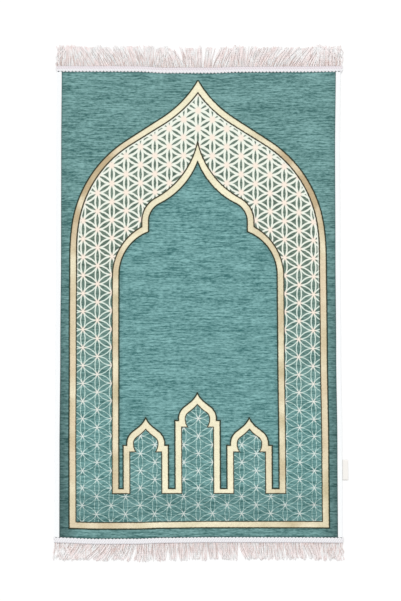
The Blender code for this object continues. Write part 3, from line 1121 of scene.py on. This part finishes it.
def make_cord_finish():
    material, tree, shader = new_finish("fringe_cord", 0.85)
    uv = tree.nodes.new("ShaderNodeUVMap")
    uv.uv_map = "strand"
    parts = tree.nodes.new("ShaderNodeSeparateXYZ")
    tree.links.new(uv.outputs["UV"], parts.inputs[0])
    turn, run = Wire(parts.outputs["X"]), Wire(parts.outputs["Y"])
    twist = calc("SINE", (turn * 2.0 + run / TWIST) * (2.0 * math.pi)) * 0.5 + 0.5
    place = tree.nodes.new("ShaderNodeTexCoord")
    drift = noise(tree, Wire(place.outputs["Object"]), 45.0, 1.0)
    colour = mix(tree, ramp(drift, 0.35, 0.65), CORD_COLOUR, CORD_WARM)
    parts = tree.nodes.new("ShaderNodeSeparateXYZ")
    tree.links.new(place.outputs["Object"], parts.inputs[0])
    x, y = Wire(parts.outputs["X"]), Wire(parts.outputs["Y"])
    cord_tint = cloth_noise(tree, x, y, 330.0, 45.0, detail=1.0)
    # Random cords are mixed towards a shaded colour, and the lower layer's cords get painted shade near the
    # braid, where they lie under the upper cords.
    colour = mix(tree, ramp(cord_tint, 0.48, 0.30) * 0.7, colour, CORD_SHADED)
    colour = mix(tree, above(turn, 1.5) * ramp(run, 0.048, 0.015) * 0.9, colour, CORD_PAINTED_SHADE)
    colour = shade(tree, colour, 0.99 + twist * 0.10)
    plug(shader.inputs["Base Color"], colour)
    raise_surface(tree, shader, twist, 0.0004)
    return material


cord_finish = make_cord_finish()

# %% The cords' routes
CORD_PITCH = 0.0031
LOWER_SPREAD = 1.35  # the lower layer's pitch, in upper pitches
ROOT_INSET = 0.0012
CORD_THICK = 0.0021
CORD_RINGS = 15
CORD_SIDES = 6
CORD_BEND = 1.4  # above 1, a cord leaves the braid straight and leans more towards its tip
CORD_TIP = 0.8
UNDER_BRAID = 0.005
CORD_ROOT_HIGH = 0.0013
STRAY_OUT = 0.003  # no cord strays further than this past the braid's ends
Lean = namedtuple("Lean", "across shift")
LEANS = {
    "head": (
        Lean(-0.340, -0.05), Lean(-0.310, -0.15), Lean(-0.280, -0.52), Lean(-0.200, -0.58),
        Lean(-0.150, -0.36), Lean(-0.100, 0.10), Lean(-0.045, -0.55), Lean(0.005, 0.00),
        Lean(0.050, 0.55), Lean(0.100, 0.02), Lean(0.165, 0.70), Lean(0.235, 0.70),
        Lean(0.315, -0.25), Lean(0.345, 0.08),
    ),
    "foot": (
        Lean(-0.340, 0.10), Lean(-0.318, 0.20), Lean(-0.285, -0.55), Lean(-0.235, -0.80),
        Lean(-0.165, -0.38), Lean(-0.120, 0.00), Lean(0.020, 0.02), Lean(0.050, 0.28),
        Lean(0.080, 0.05), Lean(0.108, 0.38), Lean(0.150, 0.10), Lean(0.250, 0.36),
        Lean(0.310, 0.02), Lean(0.345, 0.10),
    ),
}


def fringe_roots(braid, rng, pitch):
    """Where the cords of one layer leave the braid, left to right."""
    roots = np.arange(braid.left + ROOT_INSET, braid.right - ROOT_INSET, pitch)
    return roots + rng.uniform(-0.25, 0.25, len(roots)) * pitch


def tuft_middles(roots, rng):
    """The middle of the tuft that each cord belongs to. Tufts are 7 to 20 mm wide."""
    edges = [roots[0] - 0.001]
    while edges[-1] < roots[-1]:
        edges.append(edges[-1] + rng.uniform(0.007, 0.020))
    edges = np.array(edges)
    tuft = np.clip(np.searchsorted(edges, roots) - 1, 0, len(edges) - 2)
    return (edges[tuft] + edges[tuft + 1]) / 2.0, tuft


def cord_routes(name, layer, seed):
    """Middle lines of a layer of cords: (across, along, height), each (cord, ring)."""
    braid, rng = BRAIDS[name], np.random.default_rng(seed)
    roots = fringe_roots(braid, rng, CORD_PITCH * (1.0 if layer else LOWER_SPREAD))
    middles, tuft = tuft_middles(roots, rng)
    tufts_lean = rng.normal(0.0, 0.10, tuft.max() + 1)[tuft]
    shift = from_table(LEANS[name], "across", "shift", middles) + tufts_lean
    messy = eased((np.abs(roots) - 0.300) / 0.030)
    shift = shift + rng.normal(0.0, 1.0, len(roots)) * (0.05 + 0.30 * messy)
    uneven = rng.normal(0.0, 0.0014, len(roots)) + rng.normal(0.0, 0.0014, tuft.max() + 1)[tuft]
    length = braid.fringe + uneven
    shift = shift + (middles - roots) * rng.uniform(0.15, 0.55, len(roots)) / length
    share = np.linspace(0.0, 1.0, CORD_RINGS)[None, :]
    reach_out = length * (1.0 - 0.35 * (1.0 - np.cos(np.arctan(shift))))
    along = braid.edge + braid.outwards * (share * (reach_out + UNDER_BRAID)[:, None] - UNDER_BRAID)
    wave = rng.uniform(0.0003, 0.0012, len(roots))[:, None]
    turns = share * rng.uniform(0.7, 1.6, len(roots))[:, None] + rng.random((len(roots), 1))
    wave = wave * np.sin(turns * 6.28)
    across = roots[:, None] + (shift * length)[:, None] * share**CORD_BEND + wave * share
    across = braid.left - STRAY_OUT + np.abs(across - braid.left + STRAY_OUT)
    across = braid.right + STRAY_OUT - np.abs(braid.right + STRAY_OUT - across)
    lift = rng.uniform(0.2, 1.0, len(roots))[:, None] * (0.0016 if layer else 0.0002)
    ripple = 0.5 + 0.5 * np.cos((share * 1.3 + rng.random((len(roots), 1))) * 6.28)
    rest = CORD_THICK * 0.5 + lift * (0.35 + 0.65 * ripple) * (1.0 - 0.8 * share)
    high = between(eased(share / 0.25), CORD_ROOT_HIGH, rest)
    return across, along, high, rng


def mark_lower_layer(piece, count):
    """Adds 2 to how far round a point is on the map of the first cords, so that the finish can paint them in
    shade.
    """
    layer = piece.data.uv_layers["strand"]
    places = np.empty(len(piece.data.loops) * 2, np.float32)
    layer.data.foreach_get("uv", places)
    places = places.reshape(-1, 2)
    side_corners = count * (CORD_RINGS - 1) * CORD_SIDES * 4
    places[:side_corners, 0] += 2.0
    layer.data.foreach_set("uv", places.ravel())


def make_fringe(name):
    rings = []
    for layer, seed in ((0, 11), (1, 12)):
        across, along, high, rng = cord_routes(name, layer, seed + (0 if name == "head" else 20))
        x, y = lay(across, along)
        step_x, step_y = np.gradient(x, axis=1), np.gradient(y, axis=1)
        size = np.hypot(step_x, step_y)
        side_x, side_y = step_y / size, -step_x / size
        thick = CORD_THICK / 2.0 * rng.uniform(0.82, 1.12, (len(x), 1))
        thick = thick * np.ones((1, CORD_RINGS))
        thick[:, -1] *= CORD_TIP
        angle = loop_round(CORD_SIDES)[None, None, :]
        wide = thick[:, :, None] * np.cos(angle)
        tall = thick[:, :, None] * np.sin(angle) * 0.92
        ring_x = x[:, :, None] + side_x[:, :, None] * wide
        ring_y = y[:, :, None] + side_y[:, :, None] * wide
        ring_high = np.maximum(high[:, :, None] + tall, 0.0001)
        rings.append(np.stack([ring_x, ring_y, ring_high], axis=-1))
    piece = strands(np.concatenate(rings))
    mark_lower_layer(piece, len(rings[0]))
    return piece


fringes = {}
for name in BRAIDS:
    fringes[name] = make_fringe(name)
    finish_piece(fringes[name], "fringe_cords_" + name, cord_finish, "fringe_" + name)

# %% [markdown]
# ## The side label
# A small plain label is folded in half and caught under the right-hand tape. It is smooth ribbon, and its
# free fold lifts a little off the floor.

# %% The label
LABEL_OUT = 0.013
LABEL_FROM, LABEL_TO = -0.4205, -0.3725
LABEL_IVORY = display(250, 247, 242)


def make_label_finish():
    material, tree, shader = new_finish("label_ribbon", 0.45)
    across, along = cloth_place(tree)
    threads = cloth_noise(tree, across, along, 900.0, 2600.0)
    colour = shade(tree, LABEL_IVORY, 0.97 + (threads - 0.5) * 0.06)
    plug(shader.inputs["Base Color"], colour)
    raise_surface(tree, shader, threads, 0.00005)
    return material


def make_label():
    """Two leaves joined by a round fold at the free edge, which lifts a little off the floor."""
    half = 0.0004  # half the folded label's height
    leaf = 0.0003
    bend = np.radians(np.linspace(-90.0, 90.0, 5))
    flat_part = np.linspace(0.0, LABEL_OUT - half, 7)
    fold_out, fold_high = LABEL_OUT - half + half * np.cos(bend), half + half * np.sin(bend)
    slim = half - leaf
    inner_out, inner_high = LABEL_OUT - half + slim * np.cos(bend), half + slim * np.sin(bend)
    out = np.concatenate([flat_part[:-1], fold_out, flat_part[-2::-1]])
    high = np.concatenate([np.zeros(6), fold_high, np.full(6, 2.0 * half)])
    out = np.concatenate([out, flat_part[:-1], inner_out[::-1], flat_part[-2::-1]])
    high = np.concatenate([high, np.full(6, half + slim), inner_high[::-1], np.full(6, half - slim)])
    along = np.linspace(LABEL_FROM, LABEL_TO, 17)[:, None]
    lift = 0.0011 * (out / LABEL_OUT) ** 2 * (1.0 + 0.5 * np.cos((along - LABEL_FROM) * 90.0))
    across = HALF_WIDTH + 0.0004 + out + 0.0 * along
    x, y = lay(across, along + 0.0 * out)
    piece = strands(np.stack([x, y, 0.0001 + high + lift], axis=-1)[None, :, ::-1])
    map_cloth(piece, np.stack([across, along + 0.0 * out], axis=-1)[:, ::-1].reshape(-1, 2))
    return piece


label = make_label()
finish_piece(label, "side_label_ribbon", make_label_finish(), "side_label")

boxes = {"cad": cad_box, "visual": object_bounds()}
boxes = {name: [list(map(float, corner)) for corner in box] for name, box in boxes.items()}
print(boxes)
